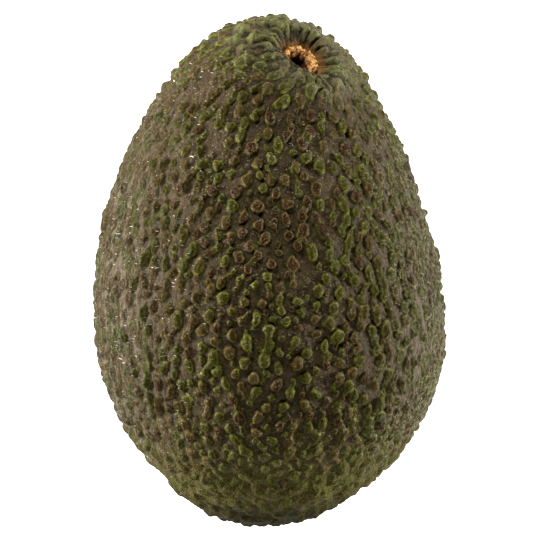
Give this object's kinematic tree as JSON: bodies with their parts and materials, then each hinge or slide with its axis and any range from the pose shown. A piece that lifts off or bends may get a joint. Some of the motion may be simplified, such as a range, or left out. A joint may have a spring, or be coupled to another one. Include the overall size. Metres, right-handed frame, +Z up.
{
  "type": "avocado",
  "caption": "Whole egg-shaped avocado with pebbled dark skin and a puckered stem scar, lying on its side on a small flat spot.",
  "frame": {"origin": "on the surface the fruit rests on, under the middle of its box", "axes": "+Z up; the long axis runs along Y with the stem end towards -Y, dipping 11 degrees below level; +X is the fruit's left seen from above with the stem end away from the viewer"},
  "size_m": [0.071, 0.1028, 0.071],
  "materials": {
    "skin": "pebbled, slightly waxy, dark olive-brown with green and reddish-brown bumps"
  },
  "bodies": {
    "root": {"avocado": "skin"}
  },
  "joints": []
}
